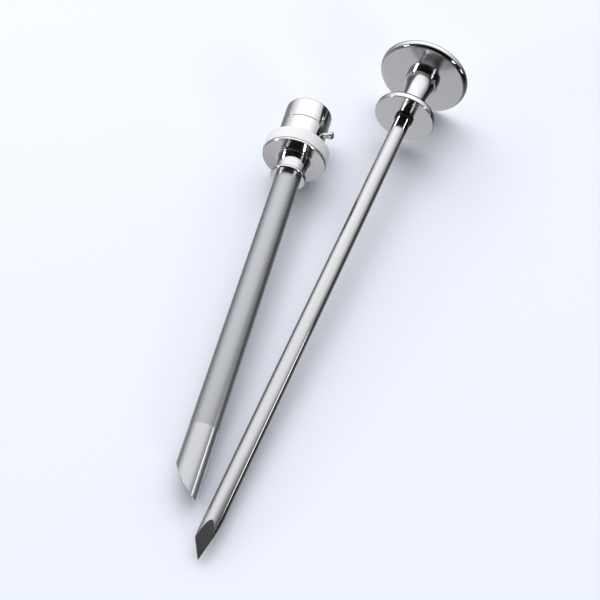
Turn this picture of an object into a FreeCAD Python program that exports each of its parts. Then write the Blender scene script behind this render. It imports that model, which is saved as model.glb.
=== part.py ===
import FreeCAD, Part
import math
import os

import Sketcher
from FreeCAD import Placement, Rotation, Vector

# Reusable laparoscopic trocar, 5 mm class, taken apart as for inspection: the cannula with its valve
# hub, and the obturator beside it, both lying on a flat surface (z = 0).
#
# Each assembly is drawn about its own axis. Local +Z runs towards the surgeon's hand (proximal),
# local -Z to the tip. The cannula's local origin is the centre of the dished front face of its hub,
# and its local +X points to the long lip of the bevelled tip and to the orientation pin. The
# obturator's local origin is the centre of the front face of the palm disc.
#
# World frame: millimetres, +Z up, origin under the middle of the whole set, handles towards +Y.

os.makedirs("parts", exist_ok=True)
doc = FreeCAD.newDocument("laparoscopic_trocar")

# ---------------------------------------------------------------- driving dimensions
sheet = doc.addObject("Spreadsheet::Sheet", "Dimensions")
SIZES = [
    # cannula tube
    ("tube_radius", 4.15), ("bore_radius", 2.80), ("tube_reach", 116.0), ("bevel_run", 9.4),
    ("tube_seat", 3.0), ("tube_seat_radius", 3.95), ("bore_flare", 0.45),
    # ferrule: neck and collar lip
    ("neck_radius", 4.55), ("lip_radius", 5.95), ("lip_front", 7.4), ("lip_back", 6.2), ("lip_root", 5.9),
    ("lip_round", 0.55), ("collar_radius", 6.3), ("collar_back", 1.2), ("neck_fillet", 0.45),
    ("neck_root_radius", 5.4), ("ferrule_spigot_radius", 5.25),
    # hub flange and grip ring
    ("face_radius", 10.6), ("dish_depth", 0.35), ("face_edge", 0.15), ("face_land", 0.8),
    ("ring_seat_radius", 9.0), ("ring_seat_back", 4.9), ("ring_radius", 10.8), ("ring_back", 5.45),
    ("ring_round", 0.35), ("spigot_bore_radius", 7.0),
    # valve housing, the lower half of the barrel
    ("barrel_radius", 7.85), ("seam_height", 13.2), ("throat_radius", 3.2), ("floor_height", 5.4),
    ("cavity_radius", 5.0), ("thread_radius", 6.5), ("thread_top", 16.0), ("seam_chamfer", 0.15),
    ("base_groove_inner", 3.9), ("base_groove_outer", 5.1), ("base_groove_top", 4.1),
    ("cap_groove_radius", 5.7), ("cap_groove_low", 13.6), ("cap_groove_high", 14.7),
    # valve stack
    ("stack_radius", 4.95), ("washer_top", 6.2), ("valve_top", 8.2), ("valve_rim_radius", 3.4),
    ("membrane_low", 6.9), ("membrane_high", 7.6), ("slit_length", 5.0), ("slit_width", 0.16),
    ("spacer_bore_radius", 3.6),
    # cap, the upper half of the barrel
    ("cap_low", 13.3), ("cap_high", 21.1), ("cap_round", 0.8), ("cap_bore_radius", 6.55),
    ("ceiling_low", 19.25), ("mouth_radius", 2.95), ("mouth_throat", 20.1), ("mouth_flare", 4.3),
    ("snap_groove_radius", 7.0), ("snap_low", 16.1), ("snap_high", 16.6), ("snap_inner", 5.7),
    ("snap_gap", 2.4),
    ("carrier_low", 16.65), ("carrier_high", 17.2), ("carrier_radius", 6.4), ("carrier_bore", 3.4),
    ("seal_low", 17.2), ("seal_high", 18.8), ("seal_radius", 6.3), ("seal_hole", 2.5),
    ("seal_cone", 4.4), ("seal_web", 0.6),
    ("bush_low", 18.85), ("bush_radius", 6.5), ("bush_bore", 4.2),
    # O-ring sections
    ("base_ring_section", 0.54), ("base_ring_centre", 4.5), ("base_ring_height", 3.55),
    ("cap_ring_section", 0.38), ("cap_ring_centre", 6.1), ("cap_ring_height", 14.15),
    # orientation pin
    ("pin_height", 11.0), ("pin_radius", 1.0), ("pin_head_radius", 1.3), ("pin_root", 5.8),
    ("pin_neck_end", 9.6), ("pin_end", 11.1), ("pin_round", 0.7),
    # obturator shaft
    ("rod_radius", 2.70), ("rod_reach", 175.4), ("tang_radius", 2.4), ("tang_top", 9.0),
    ("shaft_groove_radius", 1.9), ("shaft_groove_end", 19.95),
    ("apex_x", 0.935), ("apex_y", -0.505),
    ("facet_one_turn", -83.5), ("facet_one_slope", 11.45), ("facet_two_turn", 21.5),
    ("facet_two_slope", 8.18), ("facet_three_turn", 138.1), ("facet_three_slope", 15.7),
    ("shaft_ring_section", 0.6), ("shaft_ring_centre", 2.55), ("shaft_ring_height", 19.27),
    # handle
    ("flange_face", 18.6), ("flange_radius", 10.3), ("flange_land", 17.0), ("flange_back", 16.3),
    ("flange_back_radius", 10.0), ("flare_start", 11.5), ("flare_end", 16.0), ("flare_land_radius", 9.6),
    ("flare_round", 4.5), ("waist_radius", 3.88), ("waist_height", 10.2), ("waist_round", 29.982),
    ("boss_radius", 5.8), ("boss_end", 2.1), ("boss_round", 0.4), ("waist_top", 2.3), ("waist_top_radius", 4.94),
    ("flange_round", 0.3),
    ("palm_radius", 15.4), ("palm_edge_height", 2.9), ("palm_centre_height", 3.4),
    ("palm_round", 1.3), ("palm_back_round", 1.2),
    ("spigot_radius", 3.0), ("spigot_height", 0.8), ("counterbore_radius", 3.1),
    ("counterbore_floor", 1.7), ("screw_clearance_radius", 1.6), ("screw_radius", 1.45),
    ("screw_end", 6.5), ("tapped_end", 7.5), ("screw_head_radius", 2.9), ("screw_head_top", 3.2),
    ("socket_across_flats", 2.5), ("socket_floor", 2.2),
    ("lock_washer_radius", 2.95), ("lock_washer_bore", 1.65), ("lock_washer_top", 2.0),
    # where the two assemblies lie
    ("cannula_x", -2.112), ("cannula_y", 47.28), ("cannula_z", 10.733), ("cannula_yaw", 14.62),
    ("cannula_lean", 3.43), ("cannula_roll", -16.0),
    ("obturator_x", 41.904), ("obturator_y", 80.35), ("obturator_z", 15.261),
    ("obturator_yaw", 23.12), ("obturator_lean", 4.338), ("obturator_roll", 0.0),
    ("shift_x", -11.889), ("shift_y", -3.933),
]
for row, (alias, value) in enumerate(SIZES, start=1):
    sheet.set("A%d" % row, alias)
    sheet.set("B%d" % row, str(value))
    sheet.setAlias("B%d" % row, alias)
doc.recompute()


class Dim:
    """A length: its number, and the same length as an expression on the sheet."""

    def __init__(self, number, text):
        self.number, self.text = number, text

    @staticmethod
    def of(other):
        return other if isinstance(other, Dim) else Dim(float(other), "%s" % float(other))

    def __add__(self, other):
        o = Dim.of(other)
        return Dim(self.number + o.number, "(%s + %s)" % (self.text, o.text))

    def __sub__(self, other):
        o = Dim.of(other)
        return Dim(self.number - o.number, "(%s - %s)" % (self.text, o.text))

    def __mul__(self, other):
        o = Dim.of(other)
        return Dim(self.number * o.number, "(%s * %s)" % (self.text, o.text))

    def __neg__(self):
        return Dim(-self.number, "(0 - %s)" % self.text)


class Sizes:
    def __getattr__(self, name):
        return Dim(float(sheet.get(name)), "Dimensions.%s" % name)


D = Sizes()
ZERO = None          # marks a profile point that lies on a sketch axis
made = []


def body(label):
    b = doc.addObject("PartDesign::Body", label)
    b.Label = label
    made.append(b)
    return b


def plane(b, role):
    return [f for f in b.Origin.OriginFeatures if f.Role == role][0]


def sketch(b, name, role="XZ_Plane"):
    s = b.newObject("Sketcher::SketchObject", name)
    s.AttachmentSupport = [(plane(b, role), "")]
    s.MapMode = "FlatFace"
    return s


def outline(s, points, arcs=None):
    """A closed run of lines. Each point's two coordinates are bound to the sheet. arcs gives, for the
    number of a side, (radius, turn): turn +1 when the arc's centre is to the left on the way along."""
    arcs = arcs or {}
    num = [(0.0 if x is ZERO else Dim.of(x).number, 0.0 if y is ZERO else Dim.of(y).number) for x, y in points]
    count = len(points)
    first = [2 if i in arcs and arcs[i][1] < 0 else 1 for i in range(count)]
    for i in range(count):
        a, b_ = Vector(*num[i], 0), Vector(*num[(i + 1) % count], 0)
        if i not in arcs:
            s.addGeometry(Part.LineSegment(a, b_), False)
            continue
        radius, turn = arcs[i][0].number, arcs[i][1]
        chord = b_ - a
        left = Vector(-chord.y, chord.x, 0).normalize()
        centre = (a + b_) * 0.5 + left * (turn * math.sqrt(radius ** 2 - (chord.Length / 2) ** 2))
        begin, end = (a, b_) if turn > 0 else (b_, a)
        angles = [math.atan2(v.y - centre.y, v.x - centre.x) for v in (begin, end)]
        if angles[1] < angles[0]:
            angles[1] += 2 * math.pi
        s.addGeometry(Part.ArcOfCircle(Part.Circle(centre, Vector(0, 0, 1), radius), *angles), False)
    for i in range(count):
        j = (i + 1) % count
        s.addConstraint(Sketcher.Constraint("Coincident", i, 3 - first[i], j, first[j]))
    for i, (x, y) in enumerate(points):
        if x is ZERO:
            s.addConstraint(Sketcher.Constraint("PointOnObject", i, first[i], -2))
        else:
            x = Dim.of(x)
            n = s.addConstraint(Sketcher.Constraint("DistanceX", -1, 1, i, first[i], x.number))
            s.setExpression("Constraints[%d]" % n, x.text)
        if y is ZERO:
            s.addConstraint(Sketcher.Constraint("PointOnObject", i, first[i], -1))
        else:
            y = Dim.of(y)
            n = s.addConstraint(Sketcher.Constraint("DistanceY", -1, 1, i, first[i], y.number))
            s.setExpression("Constraints[%d]" % n, y.text)
        if i in arcs:
            n = s.addConstraint(Sketcher.Constraint("Radius", i, arcs[i][0].number))
            s.setExpression("Constraints[%d]" % n, arcs[i][0].text)


def circle(s, x, y, radius):
    x, y, radius = Dim.of(x), Dim.of(y), Dim.of(radius)
    s.addGeometry(Part.Circle(Vector(x.number, y.number, 0), Vector(0, 0, 1), radius.number), False)
    for kind, value in (("DistanceX", x), ("DistanceY", y)):
        if abs(value.number) < 1e-9:
            s.addConstraint(Sketcher.Constraint("PointOnObject", 0, 3, -2 if kind == "DistanceX" else -1))
        else:
            n = s.addConstraint(Sketcher.Constraint(kind, -1, 1, 0, 3, value.number))
            s.setExpression("Constraints[%d]" % n, value.text)
    n = s.addConstraint(Sketcher.Constraint("Radius", 0, radius.number))
    s.setExpression("Constraints[%d]" % n, radius.text)


def turned(b, points, arcs=None):
    """A turned piece: the profile (radius, height) revolved about the local Z axis."""
    s = sketch(b, b.Label + "_profile")
    outline(s, points, arcs)
    r = b.newObject("PartDesign::Revolution", b.Label + "_turning")
    r.Profile = s
    r.ReferenceAxis = (s, ["V_Axis"])
    r.Angle = 360.0
    s.Visibility = False
    doc.recompute()
    return r


def ring_of(b, centre, height, section):
    """An O-ring: a round section revolved about the local Z axis."""
    s = sketch(b, b.Label + "_section")
    circle(s, centre, height, section)
    r = b.newObject("PartDesign::Revolution", b.Label + "_turning")
    r.Profile = s
    r.ReferenceAxis = (s, ["V_Axis"])
    r.Angle = 360.0
    doc.recompute()
    return r


def round_edges(b, radius, rims, kind="Fillet"):
    """Rounds the full circles of the piece that lie at the given (radius, height) rims."""
    radius = Dim.of(radius)
    base = b.Tip
    names = []
    for r, z in rims:
        r, z = Dim.of(r).number, Dim.of(z).number
        hits = []
        for n, e in enumerate(base.Shape.Edges, start=1):
            if isinstance(e.Curve, Part.Circle) and abs(e.Curve.Radius - r) < 1e-4 \
                    and abs(e.Curve.Center.z - z) < 1e-4 and abs(e.Curve.Center.x) < 1e-4:
                hits.append("Edge%d" % n)
        if not hits:
            raise ValueError("%s has no rim of radius %.3f at %.3f" % (b.Label, r, z))
        names += hits
    f = b.newObject("PartDesign::" + kind, "%s_%s%d" % (b.Label, kind.lower(), len(b.Group)))
    f.Base = (base, names)
    if kind == "Fillet":
        f.Radius = radius.number
        f.setExpression("Radius", radius.text)
    else:
        f.Size = radius.number
        f.setExpression("Size", radius.text)
    doc.recompute()
    return f


def pocket(b, s, length, symmetric=True, reverse=False):
    """Cuts the sketch out of the piece, and proves that it took something away."""
    before = b.Tip.Shape.Volume
    p = b.newObject("PartDesign::Pocket", "%s_cut%d" % (b.Label, len(b.Group)))
    p.Profile = s
    length = Dim.of(length)
    p.Type = "Length"
    if symmetric:
        p.SideType = "Symmetric"
    p.Reversed = reverse
    p.Length = length.number
    p.setExpression("Length", length.text)
    s.Visibility = False
    doc.recompute()
    if not p.Shape.Volume < before - 1e-6:
        raise ValueError("%s: the cut %s took nothing away" % (b.Label, p.Label))
    return p


# ---------------------------------------------------------------- cannula
# The tube: drawn straight, turned down where it is soldered in the ferrule, then cut along the bevel.
# The long lip is on local +X.
b = body("cannula_tube")
turned(b, [(D.bore_radius, -D.tube_reach), (D.tube_radius, -D.tube_reach), (D.tube_radius, -D.lip_front),
           (D.tube_seat_radius, -D.lip_front), (D.tube_seat_radius, D.tube_seat),
           (D.bore_radius + D.bore_flare, D.tube_seat), (D.bore_radius, D.tube_seat - D.bore_flare)])
s = sketch(b, "cannula_tube_bevel")
outline(s, [(-(D.tube_radius + 1), D.bevel_run - D.tube_reach + D.bevel_run * 0.1205),
            (D.tube_radius + 1, -(D.tube_reach + D.bevel_run * 0.1205)),
            (D.tube_radius + 1, -(D.tube_reach + 4)), (-(D.tube_radius + 1), -(D.tube_reach + 4))])
pocket(b, s, D.tube_radius * 2 + 4)

# The ferrule soldered round the tube: the polished, slightly conical neck, with the collar lip at its
# front end.
b = body("neck_ferrule")
turned(b, [(D.tube_seat_radius, -D.lip_front), (D.lip_radius, -D.lip_front), (D.lip_radius, -D.lip_back),
           (D.neck_radius, -D.lip_root), (D.neck_root_radius, D.dish_depth),
           (D.collar_radius, D.dish_depth), (D.collar_radius, D.collar_back),
           (D.ferrule_spigot_radius, D.collar_back), (D.ferrule_spigot_radius, D.tube_seat),
           (D.tube_seat_radius, D.tube_seat)])
round_edges(b, D.neck_fillet, [(D.neck_root_radius, D.dish_depth)])
round_edges(b, D.lip_round, [(D.lip_radius, -D.lip_front), (D.lip_radius, -D.lip_back)])

# The hub flange: a dished, polished front face with the seats of the ferrule, ring and housing.
b = body("hub_flange")
turned(b, [(D.collar_radius, D.dish_depth), (D.face_radius - D.face_edge, ZERO),
           (D.face_radius, D.face_edge), (D.face_radius, D.face_land), (D.ring_seat_radius, D.face_land),
           (D.ring_seat_radius, D.ring_seat_back), (D.spigot_bore_radius, D.ring_seat_back),
           (D.spigot_bore_radius, D.tube_seat), (D.ferrule_spigot_radius, D.tube_seat),
           (D.ferrule_spigot_radius, D.collar_back), (D.collar_radius, D.collar_back)])

# The grip ring, bead blasted, pressed on the flange; its back lip closes on the housing.
b = body("grip_ring")
turned(b, [(D.ring_seat_radius, D.face_land), (D.ring_radius, D.face_land), (D.ring_radius, D.ring_back),
           (D.barrel_radius, D.ring_back), (D.barrel_radius, D.ring_seat_back),
           (D.ring_seat_radius, D.ring_seat_back)])
round_edges(b, D.ring_round, [(D.ring_radius, D.ring_back)])

# The O-ring under the housing.
b = body("base_o_ring")
ring_of(b, D.base_ring_centre, D.base_ring_height, D.base_ring_section)

# The valve housing: floor with the throat, cavity for the valve stack, threaded spigot for the cap.
b = body("valve_housing")
turned(b, [(D.throat_radius, D.tube_seat), (D.base_groove_inner, D.tube_seat),
           (D.base_groove_inner, D.base_groove_top), (D.base_groove_outer, D.base_groove_top),
           (D.base_groove_outer, D.tube_seat), (D.spigot_bore_radius, D.tube_seat),
           (D.spigot_bore_radius, D.ring_seat_back), (D.barrel_radius, D.ring_seat_back),
           (D.barrel_radius, D.seam_height), (D.thread_radius, D.seam_height),
           (D.thread_radius, D.cap_groove_low), (D.cap_groove_radius, D.cap_groove_low),
           (D.cap_groove_radius, D.cap_groove_high), (D.thread_radius, D.cap_groove_high),
           (D.thread_radius, D.thread_top), (D.cavity_radius, D.thread_top),
           (D.cavity_radius, D.floor_height), (D.throat_radius, D.floor_height)])
round_edges(b, D.seam_chamfer, [(D.barrel_radius, D.seam_height)], "Chamfer")
# blind radial hole for the orientation pin, from just outside the cavity wall to the open side
s = sketch(b, "valve_housing_pin_hole", "YZ_Plane")
s.AttachmentOffset = Placement(Vector(0, 0, D.pin_root.number), Rotation())
s.setExpression("AttachmentOffset.Base.z", D.pin_root.text)
circle(s, 0, D.pin_height, D.pin_radius)
pocket(b, s, D.barrel_radius - D.pin_root + 1, symmetric=False, reverse=True)

# The orientation pin: a stud with a rounded head, pressed radially in the housing.
b = body("orientation_pin")
s = sketch(b, "orientation_pin_profile", "XZ_Plane")
outline(s, [(D.pin_root, D.pin_height), (D.pin_end, D.pin_height), (D.pin_end, D.pin_height + D.pin_head_radius),
            (D.pin_neck_end, D.pin_height + D.pin_head_radius), (D.pin_neck_end, D.pin_height + D.pin_radius),
            (D.pin_root, D.pin_height + D.pin_radius)])
r = b.newObject("PartDesign::Revolution", "orientation_pin_turning")
r.Profile = s
r.ReferenceAxis = (s, ["Edge1"])
r.Angle = 360.0
doc.recompute()
names = ["Edge%d" % n for n, e in enumerate(r.Shape.Edges, start=1)
         if isinstance(e.Curve, Part.Circle) and abs(e.Curve.Radius - D.pin_head_radius.number) < 1e-4
         and abs(e.Curve.Center.x - D.pin_end.number) < 1e-4]
f = b.newObject("PartDesign::Fillet", "orientation_pin_head")
f.Base = (r, names)
f.Radius = D.pin_round.number
f.setExpression("Radius", D.pin_round.text)
doc.recompute()

# The valve stack: seat washer, cross-slit leaflet valve, spacer.
b = body("valve_seat_washer")
turned(b, [(D.throat_radius, D.floor_height), (D.stack_radius, D.floor_height), (D.stack_radius, D.washer_top),
           (D.throat_radius, D.washer_top)])
b = body("leaflet_valve")
turned(b, [(ZERO, D.membrane_low), (D.valve_rim_radius, D.membrane_low), (D.valve_rim_radius, D.washer_top),
           (D.stack_radius, D.washer_top), (D.stack_radius, D.valve_top), (D.valve_rim_radius, D.valve_top),
           (D.valve_rim_radius, D.membrane_high), (ZERO, D.membrane_high)])
for n, (long_way, short_way) in enumerate(((D.slit_length, D.slit_width), (D.slit_width, D.slit_length))):
    s = sketch(b, "leaflet_valve_slit_%d" % n, "XY_Plane")
    s.AttachmentOffset = Placement(Vector(0, 0, (D.membrane_low + D.membrane_high).number / 2), Rotation())
    s.setExpression("AttachmentOffset.Base.z", ((D.membrane_low + D.membrane_high) * 0.5).text)
    u, v = long_way * 0.5, short_way * 0.5
    outline(s, [(-u, -v), (u, -v), (u, v), (-u, v)])
    pocket(b, s, D.membrane_high - D.membrane_low + 0.4)
b = body("spacer_ring")
turned(b, [(D.spacer_bore_radius, D.valve_top), (D.stack_radius, D.valve_top), (D.stack_radius, D.thread_top),
           (D.spacer_bore_radius, D.thread_top)])

# The O-ring in the spigot's groove, which seals the cap.
b = body("housing_o_ring")
ring_of(b, D.cap_ring_centre, D.cap_ring_height, D.cap_ring_section)

# The cap: the upper half of the barrel, with the funnelled mouth.
b = body("valve_cap")
turned(b, [(D.cap_bore_radius, D.cap_low), (D.barrel_radius, D.cap_low), (D.barrel_radius, D.cap_high),
           (D.mouth_flare, D.cap_high), (D.mouth_radius, D.mouth_throat), (D.mouth_radius, D.ceiling_low),
           (D.cap_bore_radius, D.ceiling_low), (D.cap_bore_radius, D.snap_high),
           (D.snap_groove_radius, D.snap_high), (D.snap_groove_radius, D.snap_low),
           (D.cap_bore_radius, D.snap_low)])
round_edges(b, D.cap_round, [(D.barrel_radius, D.cap_high)])
round_edges(b, D.seam_chamfer, [(D.barrel_radius, D.cap_low)], "Chamfer")

# The thrust bush under the ceiling, on which the instrument seal turns.
b = body("cap_bush")
turned(b, [(D.bush_bore, D.bush_low), (D.bush_radius, D.bush_low), (D.bush_radius, D.ceiling_low),
           (D.bush_bore, D.ceiling_low)])

# The open snap ring that keeps the seal in the cap.
b = body("retaining_ring")
turned(b, [(D.snap_inner, D.snap_low), (D.snap_groove_radius, D.snap_low), (D.snap_groove_radius, D.snap_high),
           (D.snap_inner, D.snap_high)])
s = sketch(b, "retaining_ring_gap", "XY_Plane")
s.AttachmentOffset = Placement(Vector(0, 0, D.snap_low.number), Rotation())
s.setExpression("AttachmentOffset.Base.z", D.snap_low.text)
outline(s, [(D.snap_inner - 1, -(D.snap_gap * 0.5)), (D.snap_groove_radius + 1, -(D.snap_gap * 0.5)),
            (D.snap_groove_radius + 1, D.snap_gap * 0.5), (D.snap_inner - 1, D.snap_gap * 0.5)])
pocket(b, s, 4)

# The seal carrier and the instrument seal: they lift with the cap and don't turn.
b = body("seal_carrier")
turned(b, [(D.carrier_bore, D.carrier_low), (D.carrier_radius, D.carrier_low), (D.carrier_radius, D.carrier_high),
           (D.carrier_bore, D.carrier_high)])
b = body("instrument_seal")
turned(b, [(D.seal_hole, D.seal_low), (D.seal_radius, D.seal_low), (D.seal_radius, D.seal_high),
           (D.seal_cone, D.seal_high), (D.seal_hole, D.seal_low + D.seal_web)])

# ---------------------------------------------------------------- obturator
# The shaft: tang in the spool, groove for the O-ring, rod, and three facets ground to one apex that
# stands a little off the axis.
b = body("obturator_shaft")
turned(b, [(ZERO, -D.rod_reach), (D.rod_radius, -D.rod_reach), (D.rod_radius, -D.shaft_groove_end),
           (D.shaft_groove_radius, -D.shaft_groove_end), (D.shaft_groove_radius, -D.flange_face),
           (D.tang_radius, -D.flange_face), (D.tang_radius, -D.tang_top), (ZERO, -D.tang_top)])
for n in ("one", "two", "three"):
    turn = math.radians(sheet.get("facet_%s_turn" % n))
    slope = math.tan(math.radians(sheet.get("facet_%s_slope" % n)))
    # the facet looks along (ux, uy) in the local XY plane
    ux, uy = math.cos(turn), math.sin(turn)
    apex_u = D.apex_x * ux + D.apex_y * uy
    s = sketch(b, "obturator_shaft_facet_%s" % n)
    # the XZ plane's sketch turned about the local Z axis, which is the sketch's own Y axis
    s.AttachmentOffset = Placement(Vector(0, 0, 0), Rotation(Vector(0, 1, 0), math.degrees(turn)))
    short, far = 3.0, 32.0
    outline(s, [(apex_u - short * slope, -(D.rod_reach + short)), (apex_u + far * slope, -(D.rod_reach - far)),
                (apex_u + 20, -(D.rod_reach - far)), (apex_u + 20, -(D.rod_reach + short))])
    pocket(b, s, D.rod_radius * 2 + 4)

# The O-ring at the root of the shaft, which seats in the cannula's mouth.
b = body("shaft_o_ring")
ring_of(b, D.shaft_ring_centre, -D.shaft_ring_height, D.shaft_ring_section)

# The spool: boss, waist that narrows towards the front, and small flange.
b = body("handle_spool")
turned(b, [(D.screw_radius, D.spigot_height), (D.spigot_radius, D.spigot_height), (D.spigot_radius, ZERO),
           (D.boss_radius, ZERO), (D.boss_radius, -D.boss_end), (D.waist_top_radius, -D.waist_top),
           (D.waist_radius, -D.waist_height), (D.waist_radius, -D.flare_start),
           (D.waist_radius + D.flare_round, -D.flare_end), (D.flare_land_radius, -D.flare_end),
           (D.flange_back_radius, -D.flange_back),
           (D.flange_radius, -D.flange_land), (D.flange_radius, -D.flange_face),
           (D.tang_radius, -D.flange_face), (D.tang_radius, -D.tang_top),
           (D.screw_radius, -D.tang_top)],
       {5: (D.waist_round, 1), 7: (D.flare_round, 1)})
round_edges(b, D.boss_round, [(D.boss_radius, -D.boss_end)])
round_edges(b, D.flange_round, [(D.flange_radius, -D.flange_face)])

# The palm disc.
b = body("palm_disc")
turned(b, [(D.spigot_radius, ZERO), (D.palm_radius, ZERO), (D.palm_radius, D.palm_edge_height),
           (D.counterbore_radius, D.palm_centre_height), (D.counterbore_radius, D.counterbore_floor),
           (D.screw_clearance_radius, D.counterbore_floor), (D.screw_clearance_radius, D.spigot_height),
           (D.spigot_radius, D.spigot_height)])
round_edges(b, D.palm_round, [(D.palm_radius, 0)])
round_edges(b, D.palm_back_round, [(D.palm_radius, D.palm_edge_height)])

# The screw that holds the palm disc, with a hexagon socket, and its washer.
b = body("lock_washer")
turned(b, [(D.lock_washer_bore, D.counterbore_floor), (D.lock_washer_radius, D.counterbore_floor),
           (D.lock_washer_radius, D.lock_washer_top), (D.lock_washer_bore, D.lock_washer_top)])
b = body("handle_screw")
turned(b, [(ZERO, -D.screw_end), (D.screw_radius, -D.screw_end), (D.screw_radius, D.lock_washer_top),
           (D.screw_head_radius, D.lock_washer_top), (D.screw_head_radius, D.screw_head_top),
           (ZERO, D.screw_head_top)])
s = sketch(b, "handle_screw_socket", "XY_Plane")
s.AttachmentOffset = Placement(Vector(0, 0, D.screw_head_top.number), Rotation())
s.setExpression("AttachmentOffset.Base.z", D.screw_head_top.text)
corner = D.socket_across_flats * (1 / math.sqrt(3))
outline(s, [(corner * math.cos(math.radians(60 * k)) if abs(math.cos(math.radians(60 * k))) > 1e-9 else ZERO,
             corner * math.sin(math.radians(60 * k)) if abs(math.sin(math.radians(60 * k))) > 1e-9 else ZERO)
            for k in range(6)])
pocket(b, s, D.screw_head_top - D.socket_floor, symmetric=False)

# ---------------------------------------------------------------- lay the two assemblies down
OBTURATOR = ("obturator_shaft", "shaft_o_ring", "handle_spool", "palm_disc", "lock_washer", "handle_screw")


def lying(which):
    yaw, lean, roll = (sheet.get("%s_%s" % (which, k)) for k in ("yaw", "lean", "roll"))
    turn = Rotation(Vector(0, 0, 1), -yaw).multiply(Rotation(Vector(1, 0, 0), lean - 90)).multiply(
        Rotation(Vector(0, 0, 1), roll))
    base = Vector(sheet.get(which + "_x") + sheet.get("shift_x"), sheet.get(which + "_y") + sheet.get("shift_y"),
                  sheet.get(which + "_z"))
    return Placement(base, turn)


for b in made:
    b.Placement = lying("obturator" if b.Label in OBTURATOR else "cannula")
doc.recompute()

# ---------------------------------------------------------------- prove the model, then write it
for o in doc.Objects:
    bad = [st for st in o.State if st in ("Invalid", "Error")]
    if bad:
        raise ValueError("%s did not build: %s" % (o.Label, bad))
box = FreeCAD.BoundBox()
for b in made:
    shape = b.Shape
    if shape.isNull() or not shape.isValid() or len(shape.Solids) < 1:
        raise ValueError("%s has no valid solid" % b.Label)
    box.add(shape.BoundBox)
    shape.exportStep("parts/%s.step" % b.Label)
    print("%-20s %d solid(s) %9.2f mm3" % (b.Label, len(shape.Solids), shape.Volume))
print("box", [round(v, 3) for v in (box.XMin, box.XMax, box.YMin, box.YMax, box.ZMin, box.ZMax)], len(made), "nodes")
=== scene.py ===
import math

import bpy
from mathutils import Matrix, Vector


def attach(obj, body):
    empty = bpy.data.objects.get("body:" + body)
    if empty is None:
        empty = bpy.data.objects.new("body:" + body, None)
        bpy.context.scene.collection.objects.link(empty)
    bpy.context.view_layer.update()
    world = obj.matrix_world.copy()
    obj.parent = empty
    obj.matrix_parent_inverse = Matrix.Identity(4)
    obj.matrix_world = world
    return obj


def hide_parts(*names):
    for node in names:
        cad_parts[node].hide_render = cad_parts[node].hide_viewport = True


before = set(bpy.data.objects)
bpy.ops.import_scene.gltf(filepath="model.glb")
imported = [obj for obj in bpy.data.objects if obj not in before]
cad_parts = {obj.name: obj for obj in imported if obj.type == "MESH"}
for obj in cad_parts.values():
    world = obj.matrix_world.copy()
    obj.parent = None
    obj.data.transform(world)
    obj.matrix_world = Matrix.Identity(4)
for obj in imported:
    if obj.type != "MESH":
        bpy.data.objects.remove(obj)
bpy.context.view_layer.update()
MM = 0.001


# ---------------------------------------------------------------- where the two assemblies lie (as in part.py)
def lying(x, y, z, yaw, lean, roll):
    turn = (Matrix.Rotation(math.radians(-yaw), 4, "Z") @ Matrix.Rotation(math.radians(lean - 90), 4, "X")
            @ Matrix.Rotation(math.radians(roll), 4, "Z"))
    return Matrix.Translation(Vector((x, y, z))) @ turn


SHIFT = Vector((-11.889, -3.933, 0.0))
CANNULA = lying(-2.112 + SHIFT.x, 47.28 + SHIFT.y, 10.733, 14.62, 3.43, -16.0)
OBTURATOR = lying(41.904 + SHIFT.x, 80.35 + SHIFT.y, 15.261, 23.12, 4.338, 0.0)


# ---------------------------------------------------------------- turned pieces
def arc(a, b, radius, turn, step=4.0):
    """Points of an arc from a to b, both (r, z). turn +1: its centre is to the left on the way."""
    ax, ay, bx, by = *a, *b
    cx, cy = bx - ax, by - ay
    chord = math.hypot(cx, cy)
    h = math.sqrt(max(radius ** 2 - chord ** 2 / 4, 0.0)) * turn
    mx, my = (ax + bx) / 2 - cy / chord * h, (ay + by) / 2 + cx / chord * h
    t0, t1 = math.atan2(ay - my, ax - mx), math.atan2(by - my, bx - mx)
    while turn > 0 and t1 < t0:
        t1 += 2 * math.pi
    while turn < 0 and t1 > t0:
        t1 -= 2 * math.pi
    n = max(2, int(abs(t1 - t0) / math.radians(step)))
    pts = [(mx + radius * math.cos(t0 + (t1 - t0) * k / n), my + radius * math.sin(t0 + (t1 - t0) * k / n))
           for k in range(n + 1)]
    return [(r, z, radius) for r, z in pts[1:-1]]


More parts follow.
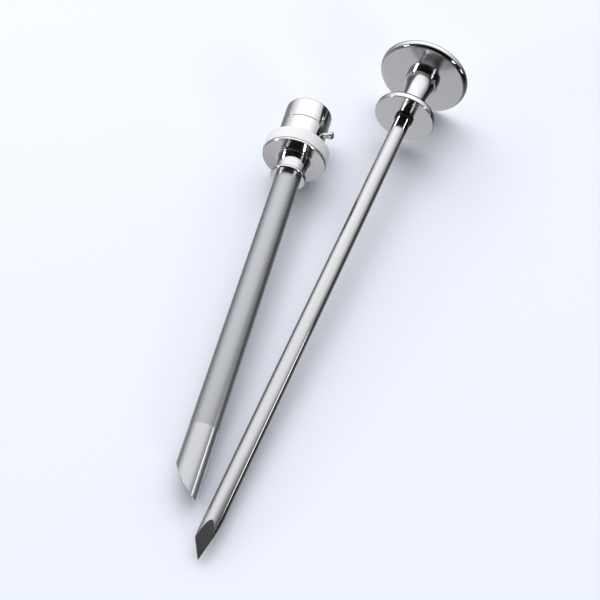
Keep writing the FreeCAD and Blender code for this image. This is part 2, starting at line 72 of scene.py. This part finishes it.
def outline(points, edge=0.06):
    """points: (r, z) or (r, z, fillet), a closed run in mm. Every corner becomes an arc, so that each point
    has one true normal. Gives (r, z, nr, nz). Sides along the axis are left open."""
    pts = [(p[0], p[1], p[2] if len(p) > 2 else edge) for p in points]
    n = len(pts)
    area = sum(pts[i][0] * pts[(i + 1) % n][1] - pts[(i + 1) % n][0] * pts[i][1] for i in range(n))
    side = 1.0 if area > 0 else -1.0
    out = []
    for i in range(n):
        p0, p1, p2 = pts[i - 1], pts[i], pts[(i + 1) % n]
        d1 = (p1[0] - p0[0], p1[1] - p0[1])
        d2 = (p2[0] - p1[0], p2[1] - p1[1])
        l1, l2 = math.hypot(*d1), math.hypot(*d2)
        d1, d2 = (d1[0] / l1, d1[1] / l1), (d2[0] / l2, d2[1] / l2)
        n1, n2 = (d1[1] * side, -d1[0] * side), (d2[1] * side, -d2[0] * side)
        if p1[0] < 1e-9:
            # on the axis: the normal is that of the side that leaves the axis
            if p2[0] > 1e-9:
                out.append((0.0, p1[1], 0.0, math.copysign(1.0, n2[1]), "start"))
            elif p0[0] > 1e-9:
                out.append((0.0, p1[1], 0.0, math.copysign(1.0, n1[1]), "end"))
            continue
        turn = math.atan2(d1[0] * d2[1] - d1[1] * d2[0], d1[0] * d2[0] + d1[1] * d2[1])
        if abs(turn) < 1e-6:
            out.append((p1[0], p1[1], n1[0], n1[1], ""))
            continue
        t = min(p1[2] * math.tan(abs(turn) / 2), 0.4999 * l1 if p0[0] > 1e-9 else l1 * 0.98,
                0.4999 * l2 if p2[0] > 1e-9 else l2 * 0.98)
        f = t / math.tan(abs(turn) / 2)
        s = math.copysign(1.0, turn)
        ax, ay = p1[0] - d1[0] * t, p1[1] - d1[1] * t
        cx, cy = ax - d1[1] * s * f, ay + d1[0] * s * f
        a0 = math.atan2(ay - cy, ax - cx)
        k = max(1, int(math.degrees(abs(turn)) / 15 + 0.999)) if f < 2 else 1
        for j in range(k + 1):
            a = a0 + turn * j / k
            nn = (math.cos(a) * s * side, math.sin(a) * s * side)
            out.append((cx + f * math.cos(a), cy + f * math.sin(a), nn[0], nn[1], ""))
    return out


def lathe(name, points, place, body, replaced, materials, edge=0.06, segs=160, rows=(), pick=None, bend=None):
    """A turned piece. rows: extra heights at which long straight sides are divided. pick(z): material number.
    bend(point, normal): moves a point, in local mm, for the oblique end of the tube."""
    prof = outline(points, edge)
    closed = not any(p[4] for p in prof)
    if not closed:
        k = next(i for i, p in enumerate(prof) if p[4] == "start")
        prof = prof[k:] + prof[:k]
    fine = []
    m = len(prof)
    for i in range(m if closed else m - 1):
        a, b = prof[i], prof[(i + 1) % m]
        fine.append(a)
        cuts = sorted([(z - a[1]) / (b[1] - a[1]) for z in rows if abs(b[1] - a[1]) > 1e-9
                       and min(a[1], b[1]) + 1e-6 < z < max(a[1], b[1]) - 1e-6])
        for t in cuts:
            fine.append(tuple(a[c] + (b[c] - a[c]) * t for c in range(4)) + ("",))
    if not closed:
        fine.append(prof[-1])
    verts, norms, index = [], [], []
    for r, z, nr, nz, _ in fine:
        ring = []
        for j in range(1 if r < 1e-9 else segs):
            a = 2 * math.pi * j / segs
            v, w = Vector((r * math.cos(a), r * math.sin(a), z)), Vector((nr * math.cos(a), nr * math.sin(a), nz))
            if bend:
                v, w = bend(v, w)
            ring.append(len(verts))
            verts.append(v)
            norms.append(w.normalized())
        index.append(ring)
    faces, number = [], []
    count = len(index)
    for i in range(count if closed else count - 1):
        a, b = index[i], index[(i + 1) % count]
        zm = (fine[i][1] + fine[(i + 1) % count][1]) / 2
        rm = (fine[i][0] + fine[(i + 1) % count][0]) / 2
        for j in range(segs):
            j2 = (j + 1) % segs
            if len(a) == 1 and len(b) == 1:
                continue
            if len(a) == 1:
                f = [a[0], b[j], b[j2]]
            elif len(b) == 1:
                f = [a[j], b[0], a[j2]]
            else:
                f = [a[j], b[j], b[j2], a[j2]]
            faces.append(f)
            number.append(pick(rm, zm) if pick else 0)
    return mesh_of(name, verts, norms, faces, number, place, body, replaced, materials)


def mesh_of(name, verts, norms, faces, number, place, body, replaced, materials):
    turn = place.to_3x3()
    world = [place @ v * MM for v in verts]
    wn = [(turn @ n).normalized() for n in norms]
    for k, f in enumerate(faces):
        a, b, c = (world[i] for i in f[:3])
        flat = (b - a).cross(c - a)
        if len(f) > 3:
            flat = (world[f[2]] - world[f[0]]).cross(world[f[3]] - world[f[1]])
        if flat.dot(sum((wn[i] for i in f), Vector())) < 0:
            faces[k] = f[::-1]
    me = bpy.data.meshes.new(name)
    me.from_pydata(world, [], faces)
    me.polygons.foreach_set("use_smooth", [True] * len(faces))
    me.polygons.foreach_set("material_index", number)
    for mat in materials:
        me.materials.append(mat)
    me.update()
    me.normals_split_custom_set_from_vertices(wn)
    ob = bpy.data.objects.new(name, me)
    bpy.context.scene.collection.objects.link(ob)
    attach(ob, body)
    if replaced:
        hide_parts(replaced)
    return ob


# ---------------------------------------------------------------- materials
def metal(name, color, rough, grain=0.0, grain_scale=4000.0, rough_span=0.0, rough_scale=60.0, share=1.0):
    mat = bpy.data.materials.new(name)
    mat.use_nodes = True
    nt = mat.node_tree
    bsdf = nt.nodes["Principled BSDF"]
    bsdf.inputs["Base Color"].default_value = (*color, 1)
    bsdf.inputs["Metallic"].default_value = share
    bsdf.inputs["Roughness"].default_value = rough
    if rough_span or grain:
        where = nt.nodes.new("ShaderNodeTexCoord")
    if rough_span:
        noise = nt.nodes.new("ShaderNodeTexNoise")
        noise.inputs["Scale"].default_value = rough_scale
        noise.inputs["Detail"].default_value = 3.0
        span = nt.nodes.new("ShaderNodeMapRange")
        span.inputs["To Min"].default_value = rough - rough_span
        span.inputs["To Max"].default_value = rough + rough_span
        nt.links.new(where.outputs["Object"], noise.inputs["Vector"])
        nt.links.new(noise.outputs["Fac"], span.inputs["Value"])
        nt.links.new(span.outputs["Result"], bsdf.inputs["Roughness"])
    if grain:
        fine = nt.nodes.new("ShaderNodeTexNoise")
        fine.inputs["Scale"].default_value = grain_scale
        fine.inputs["Detail"].default_value = 2.0
        bump = nt.nodes.new("ShaderNodeBump")
        bump.inputs["Strength"].default_value = grain
        bump.inputs["Distance"].default_value = 0.00005
        nt.links.new(where.outputs["Object"], fine.inputs["Vector"])
        nt.links.new(fine.outputs["Fac"], bump.inputs["Height"])
        nt.links.new(bump.outputs["Normal"], bsdf.inputs["Normal"])
    return mat


def plain(name, color, rough, transmission=0.0, subsurface=0.0):
    mat = bpy.data.materials.new(name)
    mat.use_nodes = True
    bsdf = mat.node_tree.nodes["Principled BSDF"]
    bsdf.inputs["Base Color"].default_value = (*color, 1)
    bsdf.inputs["Roughness"].default_value = rough
    bsdf.inputs["Transmission Weight"].default_value = transmission
    bsdf.inputs["Subsurface Weight"].default_value = subsurface
    bsdf.inputs["Subsurface Scale"].default_value = 0.001
    return mat


MIRROR = metal("steel_mirror", (0.62, 0.62, 0.63), 0.09)
FACE = metal("steel_mirror_face", (0.58, 0.57, 0.58), 0.16)
ROD = metal("steel_rod", (0.49, 0.49, 0.50), 0.12)
TIP = metal("steel_tip", (0.45, 0.455, 0.47), 0.14)
SATIN = metal("steel_satin", (0.37, 0.38, 0.395), 0.34, grain=0.15)
BLASTED = metal("steel_blasted", (0.86, 0.86, 0.865), 0.75, grain=0.5, share=0.5)
TURNED = metal("steel_turned", (0.55, 0.55, 0.56), 0.28)
BLACK = plain("o_ring_rubber", (0.012, 0.012, 0.013), 0.35)
SILICONE = plain("silicone", (0.72, 0.73, 0.70), 0.35, subsurface=0.4)
PTFE = plain("ptfe", (0.85, 0.85, 0.83), 0.4)

for node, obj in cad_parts.items():
    mat = {"base_o_ring": BLACK, "housing_o_ring": BLACK, "shaft_o_ring": BLACK, "leaflet_valve": SILICONE,
           "instrument_seal": SILICONE, "valve_seat_washer": PTFE, "cap_bush": PTFE, "spacer_ring": TURNED,
           "retaining_ring": TURNED, "seal_carrier": TURNED, "lock_washer": TURNED,
           "handle_screw": TURNED}.get(node, MIRROR)
    if not obj.data.materials:
        obj.data.materials.append(mat)
    for k in range(len(obj.material_slots)):
        obj.material_slots[k].material = mat

# ---------------------------------------------------------------- cannula
SLOPE = 9.4 / 8.3


def oblique(v, w):
    if v.z < -114.0:
        v = Vector((v.x, v.y, v.z + SLOPE * (4.15 - v.x)))
        w = Vector((w.x + SLOPE * w.z, w.y, w.z))
    return v, w


lathe("tube", [(2.8, -116.0), (4.15, -116.0), (4.15, -7.4), (3.95, -7.4), (3.95, 3.0), (3.25, 3.0), (2.8, 2.55)], CANNULA, "cannula",
      "cannula_tube", [SATIN, TIP], rows=(-96.0,), bend=oblique,
      pick=lambda r, z: 1 if z < -96.0 and r > 3 else 0)
lathe("ferrule", [(3.95, -7.4), (5.95, -7.4, 0.55), (5.95, -6.2, 0.55), (4.55, -5.9, 0.15), (5.4, 0.35, 0.45),
                  (6.3, 0.35, 0.02), (6.3, 1.2), (5.25, 1.2), (5.25, 3.0), (3.95, 3.0)], CANNULA, "cannula",
      "neck_ferrule", [MIRROR])
lathe("flange", [(6.3, 0.35, 0.02), (10.45, 0.0, 0.1), (10.6, 0.15, 0.1), (10.6, 0.8), (9.0, 0.8), (9.0, 4.9),
                 (7.0, 4.9), (7.0, 3.0), (5.25, 3.0), (5.25, 1.2), (6.3, 1.2)], CANNULA, "cannula",
      "hub_flange", [FACE])
lathe("ring", [(9.0, 0.8), (10.8, 0.8, 0.12), (10.8, 5.45, 0.35), (7.85, 5.45, 0.04), (7.85, 4.9), (9.0, 4.9)],
      CANNULA, "cannula", "grip_ring", [BLASTED])
lathe("housing", [(3.2, 3.0), (3.9, 3.0), (3.9, 4.1), (5.1, 4.1), (5.1, 3.0), (7.0, 3.0), (7.0, 4.9), (7.85, 4.9),
                  (7.85, 13.2, 0.15), (6.5, 13.2), (6.5, 13.6), (5.7, 13.6), (5.7, 14.7), (6.5, 14.7), (6.5, 16.0, 0.12),
                  (5.0, 16.0), (5.0, 5.4), (3.2, 5.4)], CANNULA, "cannula", "valve_housing", [MIRROR])
lathe("cap", [(6.55, 13.3), (7.85, 13.3, 0.15), (7.85, 21.1, 0.8), (4.3, 21.1, 0.2), (2.95, 20.1, 0.3), (2.95, 19.25),
              (6.55, 19.25), (6.55, 16.6), (7.0, 16.6), (7.0, 16.1), (6.55, 16.1)], CANNULA, "cap", "valve_cap",
      [MIRROR])
PIN = CANNULA @ Matrix.Translation(Vector((0, 0, 11.0))) @ Matrix.Rotation(math.radians(90), 4, "Y")
lathe("pin", [(0, 5.8), (1.0, 5.8), (1.0, 9.6, 0.15), (1.3, 9.6, 0.12), (1.3, 11.1, 0.7), (0, 11.1)], PIN,
      "cannula", "orientation_pin", [MIRROR], segs=64)

# ---------------------------------------------------------------- obturator
lathe("palm", [(3.0, 0.0, 0.02), (15.4, 0.0, 1.3), (15.4, 2.9, 1.2), (3.1, 3.4, 0.1), (3.1, 1.7), (1.6, 1.7),
               (1.6, 0.8), (3.0, 0.8)], OBTURATOR, "obturator", "palm_disc", [MIRROR, FACE], segs=200,
      pick=lambda r, z: 1 if z < 0.02 and r > 4 else 0)
lathe("spool", [(1.45, 0.8), (3.0, 0.8), (3.0, 0.0, 0.02), (5.8, 0.0, 0.02), (5.8, -2.1, 0.4), (4.94, -2.3, 0.1)]
      + arc((4.94, -2.3), (3.88, -10.2), 29.982, 1, 1.5) + [(3.88, -10.2, 20.0), (3.88, -11.5, 0.5)]
      + arc((3.88, -11.5), (8.38, -16.0), 4.5, 1) + [(8.38, -16.0, 0.5), (9.6, -16.0, 0.3), (10.0, -16.3, 0.5), (10.3, -17.0, 0.6), (10.3, -18.6, 0.3), (2.4, -18.6), (2.4, -9.0),
         (1.45, -9.0)], OBTURATOR, "obturator", "handle_spool", [MIRROR, FACE], segs=200,
      pick=lambda r, z: 1 if z < -18.58 and r > 2.45 else 0)


def shaft(segs=192):
    """The rod with its three ground facets, which all pass through one apex a little off the axis."""
    facets = [(math.radians(a), math.tan(math.radians(b))) for a, b in ((-83.5, 11.45), (21.5, 8.18), (138.1, 15.7))]
    ax, ay, az, rad = 0.935, -0.505, -175.4, 2.7

    def cut(phi):
        return max((az + (rad * math.cos(phi - a) - ax * math.cos(a) - ay * math.sin(a)) / t, k)
                   for k, (a, t) in enumerate(facets))

    angles = [2 * math.pi * j / segs for j in range(segs)]
    kinks = []
    for lo, hi in zip(angles, angles[1:] + [2 * math.pi]):
        if cut(lo)[1] != cut(hi)[1]:
            for _ in range(40):
                mid = (lo + hi) / 2
                if cut(mid)[1] == cut(lo)[1]:
                    lo = mid
                else:
                    hi = mid
            kinks.append(mid)
    angles = sorted(angles + kinks)
    count = len(angles)
    prof = [p for p in outline([(0, -9.0), (2.4, -9.0), (2.4, -18.6), (1.9, -18.6), (1.9, -19.95), (2.7, -19.95),
                                (2.7, -170.0, 0.0001), (0, -170.0)]) if p[1] > -160]
    verts, norms, index, faces, number = [], [], [], [], []
    k = next(i for i, p in enumerate(prof) if p[4])
    prof = prof[k:] + prof[:k]
    prof.append((2.7, -155.0, 1.0, 0.0, ""))
    for r, z, nr, nz, _ in prof:
        ring = []
        for a in angles[:1] if r < 1e-9 else angles:
            ring.append(len(verts))
            verts.append(Vector((r * math.cos(a), r * math.sin(a), z)))
            norms.append(Vector((nr * math.cos(a), nr * math.sin(a), nz)))
        index.append(ring)
    ring = []
    for a in angles:
        ring.append(len(verts))
        verts.append(Vector((rad * math.cos(a), rad * math.sin(a), cut(a)[0])))
        norms.append(Vector((math.cos(a), math.sin(a), 0)))
    index.append(ring)
    for a, b in zip(index, index[1:]):
        for j in range(count):
            j2 = (j + 1) % count
            faces.append([a[0], b[j], b[j2]] if len(a) == 1 else [a[j], b[j], b[j2], a[j2]])
            number.append(0)
    for j in range(count):
        a, b = angles[j], angles[(j + 1) % count] + (2 * math.pi if j == count - 1 else 0)
        fa, ft = facets[cut((a + b) / 2)[1]]
        n = Vector((math.cos(fa), math.sin(fa), -ft)).normalized()
        ids = []
        for p in (Vector((ax, ay, az)), verts[ring[j]], verts[ring[(j + 1) % count]]):
            ids.append(len(verts))
            verts.append(p.copy())
            norms.append(n)
        faces.append(ids)
        number.append(1)
    return mesh_of("rod", verts, norms, faces, number, OBTURATOR, "obturator", "obturator_shaft", [ROD, FACE])


shaft()
lathe("root_ring", [(2.55 + 0.6 * math.cos(math.radians(15 * k)), -19.27 + 0.6 * math.sin(math.radians(15 * k)), 0.6)
                    for k in range(24)], OBTURATOR, "shaft_ring", "shaft_o_ring", [BLACK], segs=96)


# ---------------------------------------------------------------- stage, light, camera
def floor():
    me = bpy.data.meshes.new("floor")
    s = 3.0
    me.from_pydata([(-s, -s, -0.00002), (s, -s, -0.00002), (s, s, -0.00002), (-s, s, -0.00002)], [], [(0, 1, 2, 3)])
    mat = bpy.data.materials.new("floor")
    mat.use_nodes = True
    bsdf = mat.node_tree.nodes["Principled BSDF"]
    bsdf.inputs["Base Color"].default_value = (0.765, 0.80, 0.87, 1)
    bsdf.inputs["Roughness"].default_value = 0.6
    bsdf.inputs["Specular IOR Level"].default_value = 0.2
    me.materials.append(mat)
    ob = bpy.data.objects.new("floor", me)
    bpy.context.scene.collection.objects.link(ob)
    ob.visible_glossy = False


def softbox(name, at, to, size_x, size_y, watts, color=(1, 1, 1), spread=180):
    light = bpy.data.lights.new(name, "AREA")
    light.shape = "RECTANGLE"
    light.size, light.size_y = size_x, size_y
    light.energy = watts
    light.color = color
    light.spread = math.radians(spread)
    ob = bpy.data.objects.new(name, light)
    ob.location = at
    ob.rotation_mode = "QUATERNION"
    ob.rotation_quaternion = (Vector(to) - Vector(at)).to_track_quat("-Z", "Y")
    bpy.context.scene.collection.objects.link(ob)
    return ob


def toward(az, el):
    """A direction: az in degrees from +Y towards +X, el above the horizon."""
    az, el = math.radians(az), math.radians(el)
    return (math.sin(az) * math.cos(el), math.cos(az) * math.cos(el), math.sin(el))


def ramp_of(nt, value, stops, tint=(1.0, 1.0, 1.0)):
    """stops: (cosine of the angle from a direction, radiance)."""
    half = nt.nodes.new("ShaderNodeMath")
    half.operation = "MULTIPLY_ADD"
    half.inputs[1].default_value = 0.5
    half.inputs[2].default_value = 0.5
    ramp = nt.nodes.new("ShaderNodeValToRGB")
    ramp.color_ramp.interpolation = "LINEAR"
    marks = sorted(((c + 1) / 2, v) for c, v in stops)
    while len(ramp.color_ramp.elements) < len(marks):
        ramp.color_ramp.elements.new(0.5)
    for e, (pos, v) in zip(ramp.color_ramp.elements, marks):
        e.position = pos
        e.color = (v * tint[0], v * tint[1], v * tint[2], 1)
    nt.links.new(value, half.inputs[0])
    nt.links.new(half.outputs["Value"], ramp.inputs["Fac"])
    return ramp.outputs["Color"]


def surroundings(lobes):
    """The room, as the polished metal mirrors it: the sum of lobes. Each lobe is a product of ramps,
    [(direction, [(cosine, radiance), ...]), ...], and a tint."""
    world = bpy.data.worlds.new("room")
    bpy.context.scene.world = world
    world.use_nodes = True
    nt = world.node_tree
    back = nt.nodes["Background"]
    where = nt.nodes.new("ShaderNodeTexCoord")

    def joined(a, b, operation):
        if a is None:
            return b
        node = nt.nodes.new("ShaderNodeVectorMath")
        node.operation = operation
        nt.links.new(a, node.inputs[0])
        nt.links.new(b, node.inputs[1])
        return node.outputs["Vector"]

    total = None
    for factors, tint in lobes:
        product = None
        for direction, stops in factors:
            dot = nt.nodes.new("ShaderNodeVectorMath")
            dot.operation = "DOT_PRODUCT"
            dot.inputs[1].default_value = direction
            nt.links.new(where.outputs["Generated"], dot.inputs[0])
            product = joined(product, ramp_of(nt, dot.outputs["Value"], stops, tint if product is None else (1, 1, 1)),
                             "MULTIPLY")
        total = joined(total, product, "ADD")
    nt.links.new(total, back.inputs["Color"])
    back.inputs["Strength"].default_value = 1.0


def angles(*stops):
    return [(math.cos(math.radians(a)), v) for a, v in stops]


def heights(*stops):
    return [(math.sin(math.radians(a)), v) for a, v in stops]


floor()
surroundings([
    ([(toward(-75, 86), heights((-18, 0.0), (-10, 0.12), (-4, 0.26), (1, 0.45), (6, 0.62), (12, 0.88), (20, 1.12), (30, 1.45),
                                (42, 1.85), (60, 2.0), (90, 2.0))),
      (toward(8, 0), [(-0.6, 0.004), (-0.34, 0.025), (-0.26, 0.05), (-0.15, 0.09), (-0.05, 0.22), (0.05, 0.46), (0.12, 0.64), (0.2, 0.72),
                      (0.34, 0.74), (0.5, 0.8), (0.6, 0.95), (1.0, 1.0)])], (1.0, 1.0, 1.02)),
    ([(toward(-70, -60), angles((0, 0.6), (25, 0.55), (35, 0.43), (45, 0.3), (60, 0.15), (75, 0.08), (90, 0.04),
                                (100, 0.0)))], (0.98, 1.0, 1.03)),
    ([(toward(40, -65), angles((0, 0.3), (20, 0.25), (35, 0.12), (50, 0.05), (65, 0.0)))], (0.98, 1.0, 1.03)),
    ([(toward(-142, -52), angles((0, 0.35), (12, 0.3), (25, 0.1), (35, 0.0)))], (0.98, 1.0, 1.03)),
])
for lamp in (softbox("upper", (-0.26, 0.55, 0.60), (0, 0.14, 0), 0.55, 0.55, 1.7, (1.0, 0.98, 0.94)),
             softbox("overhead", (0.02, 0.36, 0.85), (0.02, 0.20, 0), 1.3, 1.3, 3.3, (0.96, 0.99, 1.03))):
    lamp.visible_glossy = False
softbox("side_right", (0.285, -0.075, 0.027), (0.0, -0.075, 0.008), 0.12, 0.05, 0.045)
softbox("key_left", (-0.90, -0.30, 0.22), (0, 0.05, 0), 0.12, 0.12, 1.6)
softbox("key_right", (0.50, -0.85, 0.34), (0, 0.05, 0), 0.12, 0.12, 1.6)

cam = bpy.data.cameras.new("camera")
cam.lens, cam.sensor_width = 52.77, 36.0
cam.clip_start, cam.clip_end = 0.01, 20.0
camera = bpy.data.objects.new("camera", cam)
camera.location = Vector((SHIFT.x, -149.25 + SHIFT.y, 224.80)) * MM
camera.rotation_euler = (math.radians(90 - 56.42), 0, 0)
bpy.context.scene.collection.objects.link(camera)
bpy.context.scene.camera = camera
bpy.context.scene.view_settings.view_transform = "Standard"
